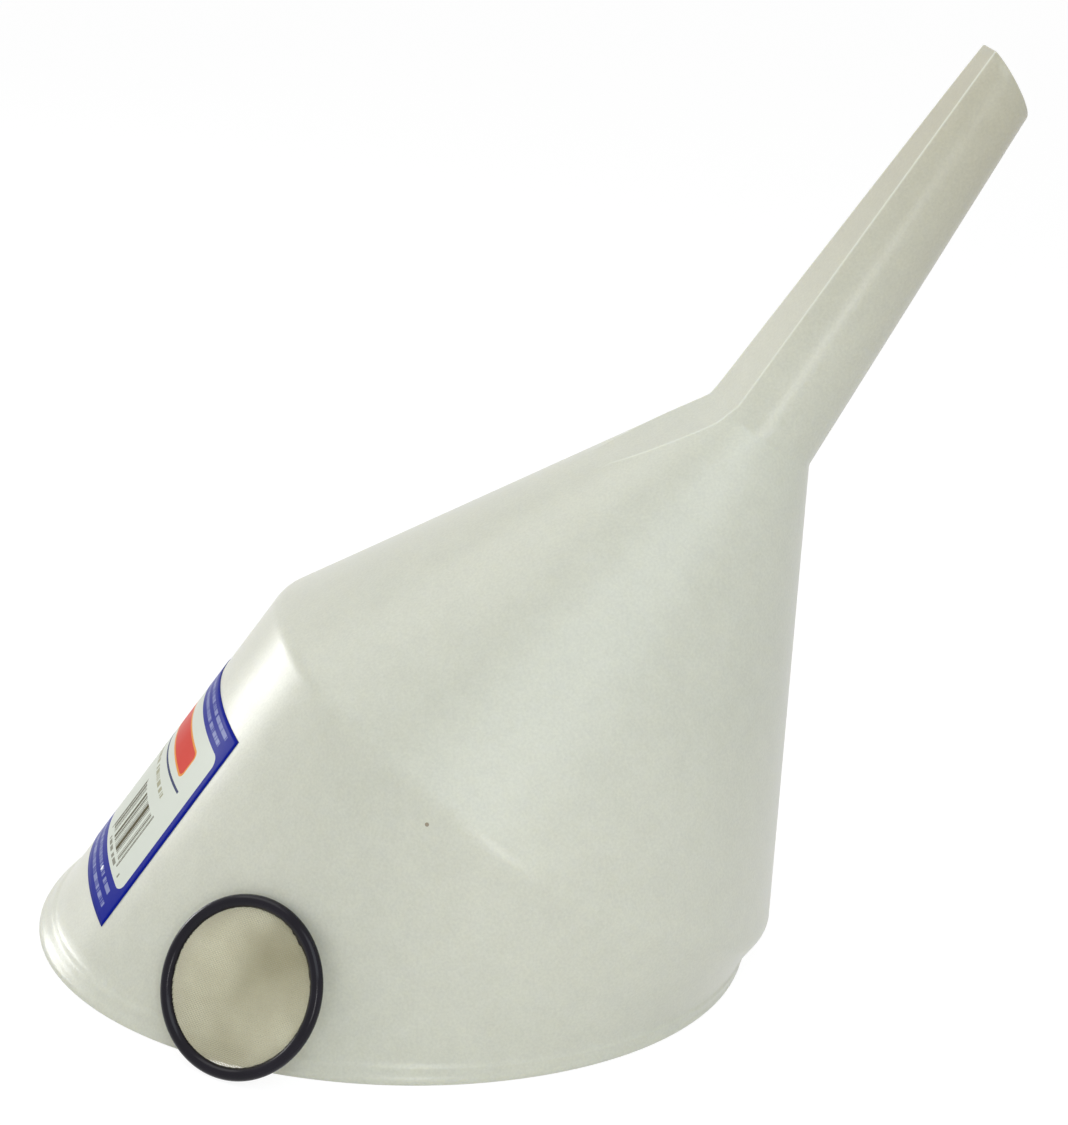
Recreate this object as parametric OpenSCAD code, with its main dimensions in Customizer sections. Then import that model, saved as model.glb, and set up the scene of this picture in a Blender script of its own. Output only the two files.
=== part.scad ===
// Large translucent filter funnel with a slanted mouth, standing mouth down, and
// its round filter screen, taken out and leaning against the outside of the bowl.
// Millimetres. The origin is where the funnel's axis meets the mouth plane.
// +Z is up, and the funnel's axis leans from +Z towards +X.

/* [Bowl] */
// Outside diameter where the wall meets the cone
shoulder_d = 220; // [180:1:264]
// Length of the wall along the axis, from the mouth plane to the shoulder
wall_len = 81.3; // [70:0.1:110]
// Angle by which the wall widens towards the mouth, degrees
wall_draft = 3; // [0.5:0.1:5]
// Angle between the mouth plane and a square cut, degrees
mouth_tilt = 30.3; // [10:0.1:35]
// Outside radius that blends the wall into the cone
shoulder_blend = 14; // [6:1:40]
// Thickness of the moulded plastic
wall_t = 2; // [1.2:0.1:3.5]

/* [Lip] */
// Height of the thickened lip above the mouth plane
lip_h = 7; // [4:0.5:12]
// Distance that the lip stands out from the wall
lip_proud = 2; // [0.5:0.1:3]

/* [Cone and spout] */
// Length of the cone along the axis, from the shoulder to the neck
cone_len = 149.2; // [115:0.1:190]
// Outside diameter of the neck, where the spout starts
neck_d = 44.3; // [38:0.1:55]
// Outside radius in the corner between the cone and the spout
neck_blend = 4; // [1:0.5:10]
// Length of the spout along the axis, from the neck to the middle of the tip
spout_len = 148.2; // [110:0.1:190]
// Outside diameter of the spout at the tip
tip_d = 26.9; // [23:0.1:34]
// Angle between the cut of the tip and a square cut, degrees
tip_slant = 25; // [0:0.1:45]

/* [Vent flat] */
// Distance from the axis to the flat's outer face at the neck
flat_neck = 17.6; // [14:0.1:18.5]
// Distance from the axis to the flat's outer face at the tip
flat_tip = 11.9; // [9:0.1:13]
// Length along the axis over which the flat runs out on the cone
flat_run = 46; // [20:1:80]
// Angle round the axis from the middle of the long side to the middle of the flat, degrees
flat_turn = 5.2; // [-20:0.1:20]

/* [Label] */
// Distance along the axis from the lip to the label's nearest corner
label_rise = 10.3; // [4:0.1:20]
// Length of the label along the axis
label_len = 85; // [50:1:95]
// Angle from the middle of the long side to the label's front edge, degrees
label_front = 22.4; // [10:0.1:60]
// Angle from the middle of the long side to the label's rear edge, degrees
label_rear = 32; // [10:0.1:60]
// Thickness of the label
label_t = 0.2; // [0.1:0.05:0.5]
// Thickness of the glue under the label
glue_t = 0.05; // [0.05:0.05:0.2]

/* [Filter screen] */
// Outside diameter of the screen's ring
ring_d = 61.5; // [50:0.1:80]
// Thickness of the ring, which has a round section
ring_t = 4.4; // [3:0.1:6]
// Thickness of the wire cloth
cloth_t = 0.5; // [0.3:0.1:0.8]
// Depth of the groove that holds the edge of the cloth
groove_depth = 1.2; // [0.8:0.1:2]
// Gap between the edge of the cloth and the bottom of its groove
groove_gap = 0.1; // [0.05:0.05:0.3]

/* [Screen at rest] */
// Angle by which the screen leans back from upright, degrees
screen_lean = 27; // [15:1:45]
// Turn of the screen about the vertical, degrees: 0 faces the front
screen_turn = -34; // [-50:1:-20]
// Angle round the wall, from the middle of the long side to the front, of the place it leans on
rest_at = 49.5; // [34:0.5:60]
// Clearance between the ring and the wall
rest_gap = 0.4; // [0.3:0.1:1]

/* [Hidden] */
$fn = 96;
shoulder_rad = shoulder_d / 2;
neck_z = wall_len + cone_len;
tip_z = neck_z + spout_len;
spout_taper = (neck_d - tip_d) / 2 / spout_len;
cone_slope = (shoulder_rad - neck_d / 2) / cone_len;
// Length by which the raw shapes pass the cuts of the mouth and the tip
spare = shoulder_rad;
// Steps in a blend
blend_steps = 8;
// Half-turn round the axis, at which the long side of the wall lies
long_side = 180;
cloth_d = ring_d - 2 * ring_t + 2 * groove_depth;
ring_rad = (ring_d - ring_t) / 2;

// Outside radius of the straight part of the wall at height z on the axis
function wall_rad(z) = shoulder_rad + (wall_len - z) * tan(wall_draft);

// Height on the axis at which the wall's line, at an angle round the axis from the
// long side and moved out by proud, is the given height above the mouth plane
function height_on_wall(height, angle, proud) =
    (height - (wall_rad(0) + proud) * cos(angle) * sin(mouth_tilt))
        / (cos(mouth_tilt) - tan(wall_draft) * cos(angle) * sin(mouth_tilt));

function unit(v) = v / norm(v);
function bend(a, p, b) = acos(unit(a - p) * unit(b - p)) / 2;

// Corner p of the path a-p-b after the path moves in by inset; side is 1 where
// the corner points outwards and -1 where it points inwards
function inset_corner(a, p, b, inset, side) =
    p + side * unit(unit(a - p) + unit(b - p)) * inset / sin(bend(a, p, b));

// Points of an arc of radius r that rounds corner p of the path a-p-b
function blend(a, p, b, r) =
    let (
        half = bend(a, p, b),
        centre = p + unit(unit(a - p) + unit(b - p)) * r / sin(half),
        start = p + unit(a - p) * r / tan(half) - centre,
        turn = (180 - 2 * half) * sign(cross(p - a, b - p)),
        from = atan2(start[1], start[0])
    )
    [for (i = [0:blend_steps]) centre + r * [cos(from + turn * i / blend_steps),
                                            sin(from + turn * i / blend_steps)]];

// Outline of the bowl, cone and spout in radius and height, moved in by inset
function funnel_outline(inset) =
    let (
        foot = [wall_rad(-spare), -spare],
        shoulder = [shoulder_rad, wall_len],
        neck = [neck_d / 2, neck_z],
        end = [tip_d / 2 - spout_taper * spare, tip_z + spare],
        in_foot = foot - [inset / cos(wall_draft), 0],
        in_shoulder = inset_corner(foot, shoulder, neck, inset, 1),
        in_neck = inset_corner(shoulder, neck, end, inset, -1),
        in_end = end - [inset / cos(atan(spout_taper)), 0]
    )
    concat([[0, -spare], in_foot],
           blend(in_foot, in_shoulder, in_neck, shoulder_blend - inset),
           blend(in_shoulder, in_neck, in_end, neck_blend + inset),
           [in_end, [0, tip_z + spare]]);

// Turns a shape made along +Z onto the funnel's axis
module on_axis() {
    rotate([0, mouth_tilt, 0]) children();
}

// Everything outside the vent flat, moved in by inset
module beyond_vent_flat(inset) {
    run_out = [-neck_d / 2 - cone_slope * flat_run, neck_z - flat_run];
    corner = [-flat_neck, neck_z];
    end = [-flat_tip + (flat_neck - flat_tip) / spout_len * spare, tip_z + spare];
    start = run_out + (run_out - corner);
    in_corner = inset_corner(start, corner, end, inset, -1);
    move_start = inset / cos(90 - atan2(corner[1] - start[1], corner[0] - start[0]));
    rotate([90, 0, flat_turn])
        linear_extrude(2 * spare, center = true)
            polygon([start + [move_start, 0], in_corner, end + [inset, 0],
                     [-2 * spare, tip_z + spare], [-2 * spare, start[1]]]);
}

// The funnel's shape filled solid, moved in by inset, before the mouth is cut
module filled_funnel(inset) {
    on_axis() difference() {
        rotate_extrude() polygon(funnel_outline(inset));
        beyond_vent_flat(inset);
    }
}

// The material beyond the slanted cut of the tip
module beyond_tip() {
    on_axis() translate([0, 0, tip_z]) rotate([0, tip_slant, 0])
        translate([-spare, -spare, 0]) cube([2 * spare, 2 * spare, 3 * spare]);
}

// The thickened lip as a slice of a wider wall
module lip() {
    intersection() {
        on_axis() translate([0, 0, -spare])
            cylinder(h = spare + wall_len, r1 = wall_rad(-spare) + lip_proud,
                     r2 = shoulder_rad + lip_proud);
        translate([-2 * spare, -2 * spare, 0]) cube([4 * spare, 4 * spare, lip_h]);
    }
}

module funnel_body() {
    color("#dfe0cc")
    difference() {
        union() {
            filled_funnel(0);
            lip();
        }
        filled_funnel(wall_t);
        beyond_tip();
        translate([-3 * spare, -3 * spare, -4 * spare])
            cube([6 * spare, 6 * spare, 4 * spare]);
    }
}

module label() {
    bottom = max(height_on_wall(lip_h, label_front, 0), height_on_wall(lip_h, label_rear, 0))
        + label_rise;
    top = bottom + label_len;
    color("#3a43a8")
    on_axis() rotate([0, 0, long_side - label_rear])
        rotate_extrude(angle = label_front + label_rear) translate([glue_t, 0])
            polygon([[wall_rad(bottom), bottom], [wall_rad(bottom) + label_t, bottom],
                     [wall_rad(top) + label_t, top], [wall_rad(top), top]]);
}

// Height of the ring's uppermost point, on the middle line of its section
function ring_top_z() = 2 * ring_rad * cos(screen_lean) + ring_t / 2;

// Distance that the middle line of the ring keeps from the wall, square to the axis
ring_reach = (ring_t / 2 + rest_gap) / cos(wall_draft);

// Place of the ring's top, so that its section clears the wall by rest_gap
function ring_top() =
    let (
        z = height_on_wall(ring_top_z(), rest_at, ring_reach),
        rad = wall_rad(z) + ring_reach
    )
    [z * sin(mouth_tilt) - rad * cos(rest_at) * cos(mouth_tilt), -rad * sin(rest_at), ring_top_z()];

// Direction from the ring's middle to its top
function ring_up() = [sin(screen_lean) * -sin(screen_turn), sin(screen_lean) * cos(screen_turn),
                      cos(screen_lean)];

// Places a screen made about the origin in the XY plane where it leans
module at_rest() {
    translate(ring_top() - ring_rad * ring_up())
        rotate([90 - screen_lean, 0, screen_turn]) children();
}

module screen_ring() {
    color("#1d1b22")
    at_rest() difference() {
        rotate_extrude() translate([ring_rad, 0]) circle(d = ring_t, $fn = 32);
        cylinder(h = cloth_t, d = cloth_d + 2 * groove_gap, center = true);
    }
}

module screen_cloth() {
    color("#a79a62")
    at_rest() cylinder(h = cloth_t, d = cloth_d, center = true);
}

funnel_body();
label();
screen_ring();
screen_cloth();
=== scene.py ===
import math

import bmesh
import bpy
import numpy as np
from mathutils import Matrix, Vector


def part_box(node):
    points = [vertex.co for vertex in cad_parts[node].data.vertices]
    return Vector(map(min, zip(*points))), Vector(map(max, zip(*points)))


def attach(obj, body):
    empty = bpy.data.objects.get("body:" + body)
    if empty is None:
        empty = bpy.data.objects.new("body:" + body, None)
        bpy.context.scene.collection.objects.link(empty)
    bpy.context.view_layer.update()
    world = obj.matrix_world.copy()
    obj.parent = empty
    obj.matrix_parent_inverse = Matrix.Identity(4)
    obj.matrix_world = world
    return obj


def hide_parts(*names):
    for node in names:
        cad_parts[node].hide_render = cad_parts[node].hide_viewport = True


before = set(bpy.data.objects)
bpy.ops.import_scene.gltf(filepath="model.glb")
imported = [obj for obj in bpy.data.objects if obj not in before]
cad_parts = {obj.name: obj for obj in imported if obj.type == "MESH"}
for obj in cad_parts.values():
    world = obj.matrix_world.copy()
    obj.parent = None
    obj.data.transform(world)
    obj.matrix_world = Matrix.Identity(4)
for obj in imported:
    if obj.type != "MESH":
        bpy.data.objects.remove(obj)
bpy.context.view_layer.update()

MM = 0.001

# Colours of the body's plastic, and the painted shade that darkens and yellows it towards the spout's tip.
BODY_DARK = (0.63, 0.635, 0.54)
BODY_PALE = (0.675, 0.675, 0.575)
SPOUT_SHADE = (0.53, 0.505, 0.395)

# Strength of the even light from all round, and of the floor's own white where it is seen.
WORLD_LEVEL = 0.46
FLOOR_GLOW = 1.12
FLOOR_GLOW_SHARE = 0.8

# ---------------------------------------------------------------- dimensions
# The design's own sizes, in millimetres and degrees.
SHOULDER_RAD = 110.0
WALL_LEN = 81.3
WALL_DRAFT = math.radians(3.0)
MOUTH_TILT = math.radians(30.3)
SHOULDER_BLEND = 14.0
WALL_T = 2.0
CONE_LEN = 149.2
NECK_RAD = 22.15
NECK_BLEND = 4.0
SPOUT_LEN = 148.2
TIP_RAD = 13.45
TIP_SLANT = math.radians(25.0)
FLAT_NECK = 17.6
FLAT_TIP = 11.9
FLAT_RUN = 46.0
FLAT_TURN = math.radians(5.2)
LABEL_RISE = 10.3
LABEL_LEN = 85.0
LABEL_FRONT = math.radians(22.4)
LABEL_REAR = math.radians(32.0)
LABEL_GLUE = 0.05
LABEL_T = 0.2
LIP_H = 7.0
RING_D = 61.5
RING_T = 4.4
RING_RAD = (RING_D - RING_T) / 2
CLOTH_PITCH = 0.6
CLOTH_WIRE = 0.26
CLOTH_HOLD = 1.1

NECK_Z = WALL_LEN + CONE_LEN
TIP_Z = NECK_Z + SPOUT_LEN
CONE_SLOPE = (SHOULDER_RAD - NECK_RAD) / CONE_LEN
SPOUT_TAPER = (NECK_RAD - TIP_RAD) / SPOUT_LEN

# What the real moulding does beyond the design: the spout leans this far at its tip, and
# the wall draws in this far above the lip at the short side, over this turn in radians
# either way and over this height below the shoulder.
SPOUT_BEND = 1.0
PINCH = 4.0
PINCH_SPREAD = 0.7
PINCH_HEIGHT = 15.0

# The fine bead that the mould leaves along the vent flat's edges.
CREASE_H = 0.16
CREASE_W = 0.46

# Height and width of the small bevel on the rim of the tip.
TIP_BEVEL_H = 0.35
TIP_BEVEL_W = 0.3

# Section of the lip, from the foot of its bead upwards: (height above the mouth, distance proud).
LIP_SECTION = [(0.0, 0.8), (0.1, 1.3), (0.4, 1.75), (0.9, 1.97), (1.6, 2.0), (2.3, 1.92),
               (2.9, 1.66), (3.5, 1.42), (4.3, 1.26), (5.2, 1.13), (5.9, 1.04), (6.4, 0.88),
               (6.9, 0.52), (7.4, 0.28), (8.2, 0.14), (9.4, 0.05), (10.8, 0.0)]

# The funnel's own directions: along its axis, towards its long side, and the front.
AXIS = np.array([math.sin(MOUTH_TILT), 0.0, math.cos(MOUTH_TILT)])
LONG = np.array([-math.cos(MOUTH_TILT), 0.0, math.sin(MOUTH_TILT)])
FRONT = np.array([0.0, -1.0, 0.0])


# ---------------------------------------------------------------- mesh helpers
def place(z, rad, turn):
    """World points, in metres, of axis height z, radius rad and turn from the long side.

    The spout leans SPOUT_BEND mm at its tip towards the long side, as it set in the mould,
    and the wall draws in by PINCH mm above the lip at the short side.
    """
    z, rad, turn = np.broadcast_arrays(z, rad, turn)
    bend = SPOUT_BEND * np.clip((z - NECK_Z) / SPOUT_LEN, 0, 1)
    off = (turn % (2 * math.pi) - math.pi) / PINCH_SPREAD
    low = np.clip((WALL_LEN + 3 - z) / PINCH_HEIGHT, 0, 1)
    pinch = PINCH * np.exp(-off ** 2) * low * low * (3 - 2 * low)
    return MM * (z[..., None] * AXIS + (rad * np.cos(turn) + bend)[..., None] * LONG
                 + (rad * np.sin(turn))[..., None] * FRONT - pinch[..., None] * [1.0, 0.0, 0.0])


def grid_faces(rows, cols, loop_rows, loop_cols):
    """Quads of a grid of points, closed round in either direction where asked."""
    r = np.arange(rows if loop_rows else rows - 1)
    c = np.arange(cols if loop_cols else cols - 1)
    rr, cc = np.meshgrid(r, c, indexing="ij")
    up, on = (rr + 1) % rows, (cc + 1) % cols
    return np.stack([rr * cols + cc, rr * cols + on, up * cols + on, up * cols + cc],
                    axis=-1).reshape(-1, 4)


def new_mesh(name, points, faces, smooth=True):
    mesh = bpy.data.meshes.new(name)
    mesh.from_pydata(np.asarray(points).reshape(-1, 3).tolist(), [], np.asarray(faces).tolist())
    mesh.polygons.foreach_set("use_smooth", [smooth] * len(mesh.polygons))
    mesh.validate()
    mesh.update()
    obj = bpy.data.objects.new(name, mesh)
    bpy.context.scene.collection.objects.link(obj)
    return obj


def face_outwards(obj):
    """Makes a closed mesh's normals point outwards."""
    bm = bmesh.new()
    bm.from_mesh(obj.data)
    bmesh.ops.recalc_face_normals(bm, faces=bm.faces)
    bm.to_mesh(obj.data)
    bm.free()


# ---------------------------------------------------------------- funnel shape
def wall_rad(z):
    return SHOULDER_RAD + (WALL_LEN - z) * math.tan(WALL_DRAFT)


def height_on_wall(height, turn, proud):
    """Axis height where the wall, moved out by proud, is this high above the mouth plane."""
    across = np.cos(turn) * math.sin(MOUTH_TILT)
    return ((height - (wall_rad(0.0) + proud) * across)
            / (math.cos(MOUTH_TILT) - math.tan(WALL_DRAFT) * across))


def unit(v):
    return v / np.linalg.norm(v)


def inset_corner(a, p, b, inset, side):
    u, v = unit(a - p), unit(b - p)
    half = math.acos(u @ v) / 2
    return p + side * unit(u + v) * inset / math.sin(half)


def arc(a, p, b, radius, steps):
    """Points (radius, height) of the arc that rounds corner p of the path a-p-b."""
    u, v = unit(a - p), unit(b - p)
    half = math.acos(u @ v) / 2
    centre = p + unit(u + v) * radius / math.sin(half)
    start, end = p + u * radius / math.tan(half) - centre, p + v * radius / math.tan(half) - centre
    out = []
    for k in np.linspace(0, 1, steps + 1):
        w = math.pi - 2 * half
        out.append(centre + (math.sin((1 - k) * w) * start + math.sin(k * w) * end) / math.sin(w))
    return np.array(out)


def line(p, q, steps):
    """Points from p to q, without the ends."""
    k = np.linspace(0, 1, steps + 1)[1:-1, None]
    return p + (q - p) * k


def outline(inset):
    """Outline from the top of the wall to the straight part of the spout: (radius, height)."""
    foot = np.array([wall_rad(0.0), 0.0])
    shoulder = np.array([SHOULDER_RAD, WALL_LEN])
    neck = np.array([NECK_RAD, NECK_Z])
    tip = np.array([TIP_RAD, TIP_Z])
    in_foot = foot - [inset / math.cos(WALL_DRAFT), 0]
    in_shoulder = inset_corner(foot, shoulder, neck, inset, 1)
    in_neck = inset_corner(shoulder, neck, tip, inset, -1)
    in_tip = tip - [inset / math.cos(math.atan(SPOUT_TAPER)), 0]
    bend = arc(in_foot, in_shoulder, in_neck, SHOULDER_BLEND - inset, 12)
    throat = arc(in_shoulder, in_neck, in_tip, NECK_BLEND + inset, 8)
    return np.concatenate([bend, line(bend[-1], throat[0], 44), throat,
                           line(throat[-1], in_tip, 44)[:-3]])


def soft_max(a, b, k):
    h = np.clip(0.5 + 0.5 * (a - b) / k, 0, 1)
    return b * (1 - h) + a * h + k * h * (1 - h)


def flat_distance(z, inset):
    """Distance from the axis to the vent flat at axis height z."""
    run_rad = NECK_RAD + CONE_SLOPE * FLAT_RUN
    slope = (run_rad - FLAT_NECK) / FLAT_RUN
    on_cone = FLAT_NECK + (NECK_Z - z) * slope - inset * math.hypot(1, slope)
    on_spout = FLAT_NECK + (NECK_Z - z) * (FLAT_NECK - FLAT_TIP) / SPOUT_LEN - inset
    return soft_max(on_cone, on_spout, 4.0)


def flat_lean(z, rad, inset):
    """Turn from the middle of the vent flat to its edge at one height, 0 where there is none."""
    return math.acos(min(1.0, flat_distance(z, inset) / rad)) if z > NECK_Z - FLAT_RUN else 0.0


def column_turns(z, rad, inset):
    """Turns of the columns at one height: they crowd along the edges of the vent flat."""
    near = np.array([-1.6, -0.9, -0.6, -0.4, -0.25, -0.12, 0, 0.12, 0.25, 0.4, 0.6, 0.9, 1.6])
    edge = max(flat_lean(z, rad, inset), math.radians(12))
    close = edge + near / rad
    half = np.concatenate([np.linspace(0, close[0], 14)[:-1], close,
                           np.linspace(close[-1], math.pi, 118)[1:]])
    return FLAT_TURN + np.concatenate([half, 2 * math.pi - half[-2:0:-1]])


def flattened(z, rad, turn, inset, edge):
    """Radius after the vent flat has been cut, its edge rounded over about edge mm."""
    facing = np.cos(turn - FLAT_TURN)
    far = np.where(facing > 0.3, flat_distance(z, inset) / np.maximum(facing, 0.3), 1e3)
    return -soft_max(-rad, -far, edge)


def round_rad(z):
    """Radius of the cone or the spout at axis height z, before the vent flat is cut."""
    return NECK_RAD + (NECK_Z - z) * np.where(z < NECK_Z, CONE_SLOPE, SPOUT_TAPER)


def crease(z, rad, turn):
    """1 on the edges of the vent flat, falling to 0 about 1 mm away from them."""
    z, rad, turn = np.broadcast_arrays(z, rad, turn)
    lean = np.array([flat_lean(zz, rr, 0.0) for zz, rr in zip(z, rad)])
    swing = np.abs((turn - FLAT_TURN + math.pi) % (2 * math.pi) - math.pi)
    off = (swing - lean) * rad
    depth = np.clip((1 - np.cos(lean)) * rad / 1.5, 0, 1)
    return np.exp(-(off / CREASE_W) ** 2) * depth


def surface(inset, edge):
    """Rows of one side of the shell, from above the lip to below the tip."""
    rows = []
    for rad, z in outline(inset):
        turn = column_turns(z, rad, inset)
        flat = flattened(z, rad, turn, inset, edge)
        if inset == 0:
            flat = flat + CREASE_H * crease(np.full_like(turn, z), np.full_like(turn, rad), turn)
        rows.append((np.full_like(turn, z), flat, turn))
    return rows


def wall_rows(low, high, steps):
    """Rows between a slanted row and a square one."""
    out = []
    for k in np.linspace(0, 1, steps + 1)[1:-1]:
        out.append(tuple(a + (b - a) * k for a, b in zip(low, high)))
    return out


def slanted_row(height, proud, turn):
    z = height_on_wall(height, turn, proud)
    return z, wall_rad(z) + proud, turn


def tip_row(inset, drop, edge):
    """Row on the slanted cut of the tip, or drop mm below it along the axis."""
    z = np.full(1, TIP_Z)
    for _ in range(6):
        rad = TIP_RAD + (TIP_Z - z) * SPOUT_TAPER - inset
        turn = column_turns(TIP_Z, TIP_RAD - inset, inset)
        rad = flattened(z, rad, turn, inset, edge)
        z = TIP_Z + rad * np.cos(turn) * math.tan(TIP_SLANT) - drop
    return z, rad, turn


def funnel_shell():
    """The funnel as one closed skin: up the outside, over the tip and down the inside."""
    outside = surface(0.0, 0.2)
    inside = surface(WALL_T, 1.6)
    turn = outside[0][2]
    lip = [slanted_row(height, proud, turn) for height, proud in LIP_SECTION]
    skin_in = -WALL_T / math.cos(WALL_DRAFT)
    inner_lip = [slanted_row(6.0, skin_in, turn), slanted_row(0.7, skin_in, turn),
                 slanted_row(0.2, skin_in + 0.15, turn), slanted_row(0.0, skin_in + 0.5, turn)]
    up = lip + wall_rows(lip[-1], outside[0], 22) + outside
    tip_out = tip_row(0.0, TIP_BEVEL_H, 0.2)
    up += wall_rows(outside[-1], tip_out, 5) + [tip_out, tip_row(TIP_BEVEL_W, 0.0, 0.4)]
    tip_in = tip_row(WALL_T, TIP_BEVEL_H, 1.6)
    down = [tip_row(WALL_T - TIP_BEVEL_W, 0.0, 1.4), tip_in] + wall_rows(tip_in, inside[-1], 5)
    down += inside[::-1] + wall_rows(inside[0], inner_lip[0], 22) + inner_lip
    rows = np.array([place(*row) for row in up + down])
    obj = new_mesh("funnel_shell", rows, grid_faces(len(rows), rows.shape[1], True, True))
    # Painted highlight: 1 along the vent flat's edges on the outside, where the material is lightened.
    crease_highlight = [crease(z, round_rad(z), around) for z, _, around in up]
    crease_highlight += [np.zeros_like(row[0]) for row in down]
    layer = obj.data.attributes.new("crease_highlight", "FLOAT", "POINT")
    layer.data.foreach_set("value", np.concatenate(crease_highlight).astype(np.float32))
    face_outwards(obj)
    return obj


# ---------------------------------------------------------------- label shape
def label_sheet():
    """The printed label as a thin closed shell with UVs in decimetres."""
    bottom = max(height_on_wall(LIP_H, LABEL_FRONT, 0.0),
                 height_on_wall(LIP_H, LABEL_REAR, 0.0)) + LABEL_RISE
    cols, rows = 73, 49
    turn = np.linspace(-LABEL_REAR, LABEL_FRONT, cols)
    z = np.linspace(bottom, bottom + LABEL_LEN, rows)
    zz, tt = np.meshgrid(z, turn, indexing="ij")
    base = wall_rad(zz) + LABEL_GLUE
    outer, inner = place(zz, base + LABEL_T, tt), place(zz, base, tt)
    points = np.concatenate([outer.reshape(-1, 3), inner.reshape(-1, 3)])
    top_faces = grid_faces(rows, cols, False, False)
    under = top_faces[:, ::-1] + rows * cols
    border = ([(0, c) for c in range(cols - 1)] + [(r, cols - 1) for r in range(rows - 1)]
              + [(rows - 1, c) for c in range(cols - 1, 0, -1)] + [(r, 0) for r in range(rows - 1, 0, -1)])
    ids = [r * cols + c for r, c in border]
    rim = [(ids[i], ids[i - 1], ids[i - 1] + rows * cols, ids[i] + rows * cols)
           for i in range(len(ids))]
    obj = new_mesh("label_print", points, np.concatenate([top_faces, under, rim]))
    face_outwards(obj)
    mid = wall_rad(bottom + LABEL_LEN / 2)
    uv_of = np.stack([(LABEL_FRONT - tt) * mid / 100, (zz - bottom) / 100], axis=-1).reshape(-1, 2)
    uv_of = np.concatenate([uv_of, uv_of])
    layer = obj.data.uv_layers.new(name="print")
    loops = np.empty(len(obj.data.loops), dtype=np.int32)
    obj.data.loops.foreach_get("vertex_index", loops)
    layer.data.foreach_set("uv", uv_of[loops].ravel().astype(np.float32))
    return obj, (LABEL_FRONT + LABEL_REAR) * mid / 100, LABEL_LEN / 100


# ---------------------------------------------------------------- screen shape
# Where round the ring its flash is raggedest, and over what turn either way.
FLASH_AT = math.radians(42)
FLASH_SPREAD = math.radians(20)

SCREEN_LEAN = math.radians(27)
SCREEN_TURN = math.radians(-34)
ring_low, ring_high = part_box("screen_ring")
SCREEN_CENTRE = (Vector(ring_low) + Vector(ring_high)) / 2
SCREEN_POSE = (Matrix.Translation(SCREEN_CENTRE)
               @ Matrix.Rotation(SCREEN_TURN, 4, "Z")
               @ Matrix.Rotation(math.pi / 2 - SCREEN_LEAN, 4, "X"))


def in_screen_pose(points):
    m = np.array(SCREEN_POSE)
    return points @ m[:3, :3].T + m[:3, 3]


def ring():
    """The moulded ring: a round section with a thin uneven flash along its bore."""
    rng = np.random.default_rng(7)
    cols, rows = 720, 36
    around = np.linspace(0, 2 * math.pi, cols, endpoint=False)
    section = np.linspace(0, 2 * math.pi, rows, endpoint=False)
    ragged = np.repeat(rng.random(cols // 6), 6)
    ragged = np.convolve(np.concatenate([ragged[-2:], ragged, ragged[:2]]), np.ones(5) / 5, "valid")
    strong = np.exp(-((around - FLASH_AT) / FLASH_SPREAD) ** 2)
    flash = 0.04 + 0.12 * ragged + strong * (0.2 + 0.9 * np.clip(ragged - 0.35, 0, 1))
    aa, ss = np.meshgrid(around, section, indexing="ij")
    bore_side = np.exp(-((ss - math.radians(168)) / math.radians(15)) ** 2)
    tube = RING_T / 2 - 0.02 + flash[:, None] * bore_side
    seam = np.exp(-((np.minimum(ss, 2 * math.pi - ss)) / math.radians(4)) ** 2)
    tube = tube + 0.02 * seam
    rad = RING_RAD + tube * np.cos(ss)
    high = tube * np.sin(ss)
    points = np.stack([rad * np.cos(aa), rad * np.sin(aa), high], axis=-1) * MM
    obj = new_mesh("ring_moulding", in_screen_pose(points.reshape(-1, 3)),
                   grid_faces(cols, rows, True, True))
    face_outwards(obj)
    return obj


def cloth():
    """Plain-woven wire cloth: each wire passes over and under the ones that cross it."""
    reach = RING_RAD - RING_T / 2 + CLOTH_HOLD
    count = int(reach // CLOTH_PITCH)
    points, faces = [], []
    corner = np.linspace(0, 2 * math.pi, 5, endpoint=False) + math.pi / 2
    start = 0
    for way in (0, 1):
        for k in range(-count, count + 1):
            off = k * CLOTH_PITCH
            half = math.sqrt(reach * reach - off * off)
            steps = max(2, 2 * round(2 * half / CLOTH_PITCH))
            along = np.linspace(-half, half, steps + 1)
            sign = 1 if (k + way) % 2 == 0 else -1
            high = sign * CLOTH_WIRE / 2 * np.cos(along / CLOTH_PITCH * math.pi)
            ring_pts = np.empty((steps + 1, len(corner), 3))
            ring_pts[..., way] = along[:, None]
            ring_pts[..., 1 - way] = off + CLOTH_WIRE / 2 * np.cos(corner)[None, :]
            ring_pts[..., 2] = high[:, None] + CLOTH_WIRE / 2 * np.sin(corner)[None, :]
            points.append(ring_pts.reshape(-1, 3) * MM)
            faces.append(grid_faces(steps + 1, len(corner), False, True) + start)
            start += (steps + 1) * len(corner)
    return new_mesh("wire_cloth", in_screen_pose(np.concatenate(points)), np.concatenate(faces))


# ---------------------------------------------------------------- materials
# Axis height and turn of the one dark speck in the body's plastic.
SPECK_Z = 74.0
SPECK_TURN = math.radians(64.0)


def new_material(name):
    mat = bpy.data.materials.new(name)
    mat.use_nodes = True
    nodes, links = mat.node_tree.nodes, mat.node_tree.links
    return mat, nodes, links, nodes["Principled BSDF"]


def noise(nodes, links, scale, detail=3.0, coord=None):
    """A noise texture of so many features a metre, in the object's own space."""
    tex = nodes.new("ShaderNodeTexNoise")
    tex.inputs["Scale"].default_value = scale
    tex.inputs["Detail"].default_value = detail
    if coord is None:
        coord = nodes.new("ShaderNodeTexCoord").outputs["Object"]
    links.new(coord, tex.inputs["Vector"])
    return tex.outputs["Fac"]


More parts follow.
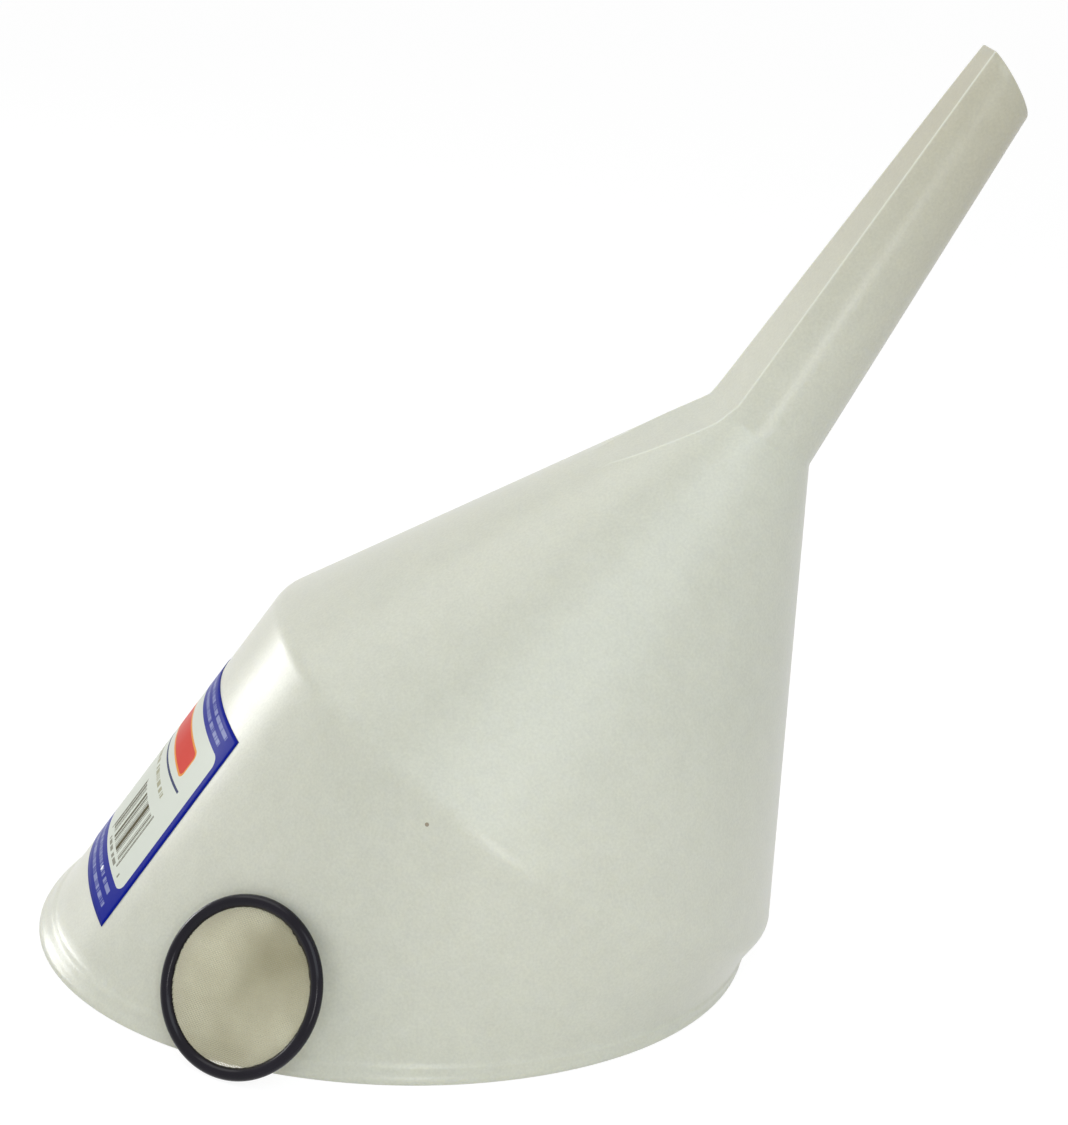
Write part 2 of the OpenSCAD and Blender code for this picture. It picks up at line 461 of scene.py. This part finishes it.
def spread(nodes, links, value, low, high, from_low=0.3, from_high=0.7):
    """Maps the middle of a noise, where nearly all of it lies, to the range low to high."""
    node = nodes.new("ShaderNodeMapRange")
    node.inputs["From Min"].default_value = from_low
    node.inputs["From Max"].default_value = from_high
    node.inputs["To Min"].default_value = low
    node.inputs["To Max"].default_value = high
    links.new(value, node.inputs["Value"])
    return node.outputs["Result"]


def bumps(nodes, links, bsdf, layers):
    """Chains bumps, each (height, strength, distance), into the shader's normal."""
    under = None
    for height, strength, distance in layers:
        node = nodes.new("ShaderNodeBump")
        node.inputs["Strength"].default_value = strength
        node.inputs["Distance"].default_value = distance
        links.new(height, node.inputs["Height"])
        if under:
            links.new(under, node.inputs["Normal"])
        under = node.outputs["Normal"]
    links.new(under, bsdf.inputs["Normal"])


class Sums:
    """Writes arithmetic as shader nodes, so that a pattern reads as a formula."""

    def __init__(self, tree):
        self.nodes, self.links = tree.nodes, tree.links

    def __call__(self, operation, *values):
        node = self.nodes.new("ShaderNodeMath")
        node.operation = operation
        for slot, value in zip(node.inputs, values):
            if isinstance(value, (int, float)):
                slot.default_value = value
            else:
                self.links.new(value, slot)
        return node.outputs[0]

    def add(self, a, b):
        return self("ADD", a, b)

    def sub(self, a, b):
        return self("SUBTRACT", a, b)

    def mul(self, a, b):
        return self("MULTIPLY", a, b)

    def below(self, a, b):
        return self("LESS_THAN", a, b)

    def above(self, a, b):
        return self("GREATER_THAN", a, b)

    def both(self, *masks):
        out = masks[0]
        for mask in masks[1:]:
            out = self.mul(out, mask)
        return out

    def either(self, *masks):
        out = masks[0]
        for mask in masks[1:]:
            out = self("MAXIMUM", out, mask)
        return out

    def between(self, a, low, high):
        return self.both(self.above(a, low), self.below(a, high))

    def rounded(self, u, v, low, high, radius):
        """1 inside the box from low to high, whose corners have this radius."""
        gaps = []
        for axis, lo, hi in ((u, low[0], high[0]), (v, low[1], high[1])):
            off = self("ABSOLUTE", self.sub(axis, (lo + hi) / 2))
            gaps.append(self("MAXIMUM", self.sub(off, (hi - lo) / 2 - radius), 0.0))
        reach = self("SQRT", self.add(self.mul(gaps[0], gaps[0]), self.mul(gaps[1], gaps[1])))
        return self.below(reach, radius)

    def chance(self, value, seed):
        """A repeatable random number for each whole step of value."""
        node = self.nodes.new("ShaderNodeTexWhiteNoise")
        node.noise_dimensions = "2D"
        both = self.nodes.new("ShaderNodeCombineXYZ")
        self.links.new(self("FLOOR", value), both.inputs["X"])
        both.inputs["Y"].default_value = seed
        self.links.new(both.outputs["Vector"], node.inputs["Vector"])
        return node.outputs["Value"]

    def mix(self, mask, under, over):
        node = self.nodes.new("ShaderNodeMix")
        node.data_type = "RGBA"
        self.links.new(mask, node.inputs["Factor"])
        for slot, value in (("A", under), ("B", over)):
            if isinstance(value, tuple):
                node.inputs[slot].default_value = (*value, 1)
            else:
                self.links.new(value, node.inputs[slot])
        return node.outputs["Result"]


def plastic():
    """Milky polyethylene, finely grained, with painted shade darker and yellower towards the spout's tip
    and a painted highlight along the vent flat's edges.
    """
    mat, nodes, links, bsdf = new_material("translucent_polyethylene")
    m = Sums(mat.node_tree)
    where = nodes.new("ShaderNodeTexCoord").outputs["Object"]
    broad = noise(nodes, links, 11, 2.0, where)
    mottle = noise(nodes, links, 120, 4.0, where)
    grain = noise(nodes, links, 1100, 3.0, where)
    colour = m.mix(spread(nodes, links, broad, 0, 1), BODY_DARK, BODY_PALE)
    along = nodes.new("ShaderNodeVectorMath")
    along.operation = "DOT_PRODUCT"
    links.new(where, along.inputs[0])
    along.inputs[1].default_value = AXIS
    # Painted shade: the colour turns darker and yellower up the spout, towards its tip, for the lesser
    # light the spout gets.
    spout_shade = spread(nodes, links, along.outputs["Value"], 0, 1, MM * (NECK_Z - 4), MM * (TIP_Z - 20))
    colour = m.mix(spout_shade, colour, SPOUT_SHADE)
    fine = m.add(spread(nodes, links, grain, -0.045, 0.045), spread(nodes, links, mottle, -0.02, 0.02))
    shade = nodes.new("ShaderNodeHueSaturation")
    links.new(colour, shade.inputs["Color"])
    links.new(m.add(fine, 1.0), shade.inputs["Value"])
    colour = shade.outputs["Color"]
    speck = nodes.new("ShaderNodeVectorMath")
    speck.operation = "DISTANCE"
    links.new(where, speck.inputs[0])
    speck.inputs[1].default_value = tuple(place(SPECK_Z, wall_rad(SPECK_Z), SPECK_TURN))
    colour = m.mix(m.mul(m.below(speck.outputs["Value"], 0.0007), 0.7), colour, (0.20, 0.12, 0.05))
    # Painted highlight: the vent flat's edges are lightened towards a pale colour.
    crease_highlight = nodes.new("ShaderNodeAttribute")
    crease_highlight.attribute_name = "crease_highlight"
    colour = m.mix(m.mul(crease_highlight.outputs["Fac"], 0.75), colour, (0.80, 0.81, 0.72))
    links.new(colour, bsdf.inputs["Base Color"])
    links.new(spread(nodes, links, mottle, 0.285, 0.34), bsdf.inputs["Roughness"])
    bumps(nodes, links, bsdf, [(broad, 0.5, 0.0012), (mottle, 0.22, 0.0003), (grain, 0.35, 0.00012)])
    bsdf.inputs["Subsurface Weight"].default_value = 0.5
    bsdf.inputs["Subsurface Radius"].default_value = (1.0, 0.9, 0.6)
    bsdf.inputs["Subsurface Scale"].default_value = 0.0015
    return mat


def black_plastic():
    """Glossy moulded black with faint flow marks, rubbed in places."""
    mat, nodes, links, bsdf = new_material("black_ring_plastic")
    m = Sums(mat.node_tree)
    rubbed, fine = noise(nodes, links, 90, 4.0), noise(nodes, links, 900, 3.0)
    links.new(m.mix(spread(nodes, links, rubbed, 0, 1), (0.003, 0.002, 0.006), (0.007, 0.005, 0.011)),
              bsdf.inputs["Base Color"])
    links.new(spread(nodes, links, rubbed, 0.14, 0.25), bsdf.inputs["Roughness"])
    bumps(nodes, links, bsdf, [(rubbed, 0.25, 0.0003), (fine, 0.2, 0.00005)])
    bsdf.inputs["Specular IOR Level"].default_value = 0.22
    return mat


def brass():
    """Dull brass wire, tarnished in clouds, with drawing marks."""
    mat, nodes, links, bsdf = new_material("dull_brass_wire")
    m = Sums(mat.node_tree)
    cloud, fine = noise(nodes, links, 38, 2.0), noise(nodes, links, 2500, 2.0)
    colour = m.mix(spread(nodes, links, cloud, 0, 1), (0.50, 0.47, 0.32), (0.86, 0.84, 0.68))
    links.new(m.mix(spread(nodes, links, fine, 0, 0.35), colour, (0.50, 0.42, 0.22)),
              bsdf.inputs["Base Color"])
    bsdf.inputs["Metallic"].default_value = 0.6
    links.new(spread(nodes, links, cloud, 0.36, 0.5), bsdf.inputs["Roughness"])
    bumps(nodes, links, bsdf, [(fine, 0.3, 0.00004)])
    return mat


def print_material(width, height):
    """A blue border round a pale panel, with a plain red bar, plain rules and stripes."""
    blue, panel, red = (0.004, 0.012, 0.27), (0.70, 0.73, 0.65), (0.66, 0.04, 0.02)
    orange, navy = (0.80, 0.30, 0.04), (0.03, 0.04, 0.12)
    ink, beige = (0.075, 0.06, 0.02), (0.27, 0.24, 0.10)
    mat, nodes, links, bsdf = new_material("printed_label_film")
    m = Sums(mat.node_tree)
    uv = nodes.new("ShaderNodeUVMap")
    uv.uv_map = "print"
    split = nodes.new("ShaderNodeSeparateXYZ")
    links.new(uv.outputs["UV"], split.inputs["Vector"])
    u, v = m.mul(split.outputs["X"], 100.0), m.mul(split.outputs["Y"], 100.0)
    stripe, foot, head = 3.6, 12.7, 10.7

    def rules(low, high, step, seed, least):
        """A line of plain dashes in a box: steps whose random number passes least are filled."""
        filled = m.above(m.chance(m.mul(u, 1 / step), seed), least)
        return m.both(m.between(u, low[0], high[0]), m.between(v, low[1], high[1]), filled)

    colour = m.mix(m.rounded(u, v, (stripe, foot), (width - stripe, height - head), 4.0), blue, panel)
    small = m.either(rules((7, 3.3), (width - 7, 5.3), 0.45, 1.0, 0.35),
                     rules((9, 7.6), (width - 9, 9.6), 0.45, 2.0, 0.35),
                     rules((9, height - 8.4), (width - 9, height - 6.6), 0.45, 3.0, 0.35),
                     rules((7, height - 4.6), (width - 7, height - 2.8), 0.45, 4.0, 0.35))
    colour = m.mix(m.mul(small, 0.4), colour, (0.60, 0.66, 0.85))
    bullet = m.below(m.add(m("ABSOLUTE", m.sub(u, 25.0)), m("ABSOLUTE", m.sub(v, 8.6))), 1.2)
    colour = m.mix(bullet, colour, (0.85, 0.87, 0.95))
    bar_low, bar_high = height - 29.0, height - 17.5
    colour = m.mix(m.rounded(u, v, (17.0, bar_low), (width - 17.0, bar_high), 3.0), colour, orange)
    colour = m.mix(m.rounded(u, v, (17.9, bar_low + 0.9), (width - 17.9, bar_high - 0.9), 2.3),
                   colour, red)
    middle = m.mul(m.sub(u, width / 2), 1 / (width / 2))
    sag = m.add(m.mul(m.mul(middle, middle), 3.0), bar_low - 4.6)
    swoosh = m.both(m.below(m("ABSOLUTE", m.sub(v, sag)), 0.55), m.between(u, 12.0, width - 12.0))
    colour = m.mix(swoosh, colour, navy)
    words = rules((20, bar_low - 11.5), (width - 30, bar_low - 9.3), 0.6, 5.0, 0.3)
    colour = m.mix(m.mul(words, 0.7), colour, beige)
    code = m.both(m.between(u, 15.4, 44.2), m.between(v, 17.5, 38.5),
                  m.above(m.chance(m.mul(u, 1 / 0.33), 6.0), 0.5))
    guard = m.both(m.between(v, 15.8, 39.5), m.either(m.between(u, 15.4, 15.8), m.between(u, 16.1, 16.5),
                                                      m.between(u, 43.1, 43.5), m.between(u, 43.8, 44.2)))
    colour = m.mix(m.either(code, guard), colour, ink)
    lot = m.either(rules((18, 14.4), (42, 16.0), 1.1, 7.0, 0.45),
                   m.both(m.between(u, 10.4, 11.4), m.between(v, 14.4, 16.2)))
    colour = m.mix(m.mul(lot, 0.7), colour, ink)
    links.new(colour, bsdf.inputs["Base Color"])
    wave, fine = noise(nodes, links, 55, 3.0), noise(nodes, links, 1500, 2.0)
    links.new(spread(nodes, links, wave, 0.29, 0.37), bsdf.inputs["Roughness"])
    bumps(nodes, links, bsdf, [(wave, 0.3, 0.0005), (fine, 0.15, 0.00005)])
    bsdf.inputs["Specular IOR Level"].default_value = 0.035
    return mat


def paint(obj, mat):
    obj.data.materials.clear()
    obj.data.materials.append(mat)


# ---------------------------------------------------------------- object
shell = funnel_shell()
paint(shell, plastic())
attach(shell, "funnel")
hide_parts("funnel_body")

label, label_w, label_h = label_sheet()
paint(label, print_material(100 * label_w, 100 * label_h))
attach(label, "funnel")
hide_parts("label")

ring_piece = ring()
paint(ring_piece, black_plastic())
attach(ring_piece, "screen")
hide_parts("screen_ring")

cloth_piece = cloth()
paint(cloth_piece, brass())
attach(cloth_piece, "screen")
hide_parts("screen_cloth")


# ---------------------------------------------------------------- stage
def area_light(name, place_at, aim, size, power, colour=(1, 1, 1)):
    lamp = bpy.data.lights.new(name, "AREA")
    lamp.shape = "RECTANGLE"
    lamp.size, lamp.size_y = size
    lamp.energy = power
    lamp.color = colour
    obj = bpy.data.objects.new(name, lamp)
    obj.location = place_at
    obj.rotation_euler = (Vector(aim) - Vector(place_at)).to_track_quat("-Z", "Y").to_euler()
    bpy.context.scene.collection.objects.link(obj)
    return obj


def seen_white(nodes, links):
    """1 for rays that should see plain white: straight to the camera, or by a gloss or glass."""
    path = nodes.new("ShaderNodeLightPath")
    either = nodes.new("ShaderNodeMath")
    either.operation = "MAXIMUM"
    links.new(path.outputs["Is Camera Ray"], either.inputs[0])
    links.new(path.outputs["Is Glossy Ray"], either.inputs[1])
    third = nodes.new("ShaderNodeMath")
    third.operation = "MAXIMUM"
    links.new(either.outputs[0], third.inputs[0])
    links.new(path.outputs["Is Transmission Ray"], third.inputs[1])
    return third.outputs[0]


def studio_world():
    world = bpy.data.worlds.new("studio")
    bpy.context.scene.world = world
    world.use_nodes = True
    nodes, links = world.node_tree.nodes, world.node_tree.links
    back = nodes["Background"]
    back.inputs["Color"].default_value = (1, 1, 1, 1)
    back.inputs["Strength"].default_value = WORLD_LEVEL
    white = nodes.new("ShaderNodeBackground")
    white.inputs["Color"].default_value = (1, 1, 1, 1)
    white.inputs["Strength"].default_value = 1.0
    mix = nodes.new("ShaderNodeMixShader")
    links.new(seen_white(nodes, links), mix.inputs["Fac"])
    links.new(back.outputs["Background"], mix.inputs[1])
    links.new(white.outputs["Background"], mix.inputs[2])
    links.new(mix.outputs["Shader"], nodes["World Output"].inputs["Surface"])


def white_floor():
    reach = 40.0
    floor = new_mesh("floor", [[-reach, -reach, 0], [reach, -reach, 0], [reach, reach, 0],
                               [-reach, reach, 0]], [[0, 1, 2, 3]], smooth=False)
    mat, nodes, links, bsdf = new_material("floor_white")
    bsdf.inputs["Base Color"].default_value = (0.9, 0.9, 0.9, 1)
    bsdf.inputs["Roughness"].default_value = 0.9
    glow = nodes.new("ShaderNodeEmission")
    glow.inputs["Strength"].default_value = FLOOR_GLOW
    part = nodes.new("ShaderNodeMath")
    part.operation = "MULTIPLY"
    part.inputs[1].default_value = FLOOR_GLOW_SHARE
    mix = nodes.new("ShaderNodeMixShader")
    links.new(seen_white(nodes, links), part.inputs[0])
    links.new(part.outputs[0], mix.inputs["Fac"])
    links.new(bsdf.outputs["BSDF"], mix.inputs[1])
    links.new(glow.outputs["Emission"], mix.inputs[2])
    links.new(mix.outputs["Shader"], nodes["Material Output"].inputs["Surface"])
    paint(floor, mat)


def stage():
    studio_world()
    white_floor()
    area_light("window_left_back", (-1.53, 1.14, 0.41), (0, 0, 0.10), (0.68, 0.36), 9.5)
    area_light("softbox_front", (0.21, -0.81, 1.13), (0, 0, 0.12), (1.0, 0.85), 5.2,
               (0.83, 0.93, 1.0))
    area_light("lamp_by_camera", (0.02, -0.80, 0.30), (0.12, 0, 0.22), (0.10, 0.34), 1.0)
    area_light("sky_left", (-0.75, 0.35, 1.45), (0, 0, 0.15), (1.0, 1.0), 4.6, (1.0, 1.0, 0.95))
    bpy.context.scene.view_settings.view_transform = "Standard"


def camera():
    """A long lens a little above the object, slightly rolled."""
    azimuth, elevation, roll = math.radians(-7.79), math.radians(18.88), math.radians(4.12)
    aim = Vector((0.0369, -0.0096, 0.1492))
    distance = 0.7955
    back = Vector((math.sin(azimuth) * math.cos(elevation),
                   -math.cos(azimuth) * math.cos(elevation), math.sin(elevation)))
    data = bpy.data.cameras.new("camera")
    data.sensor_width = 36
    data.lens = 70.9
    obj = bpy.data.objects.new("camera", data)
    turn = (-back).to_track_quat("-Z", "Y").to_matrix() @ Matrix.Rotation(roll, 3, "Z")
    obj.matrix_world = Matrix.Translation(aim + back * distance) @ turn.to_4x4()
    bpy.context.scene.collection.objects.link(obj)
    bpy.context.scene.camera = obj


camera()
stage()
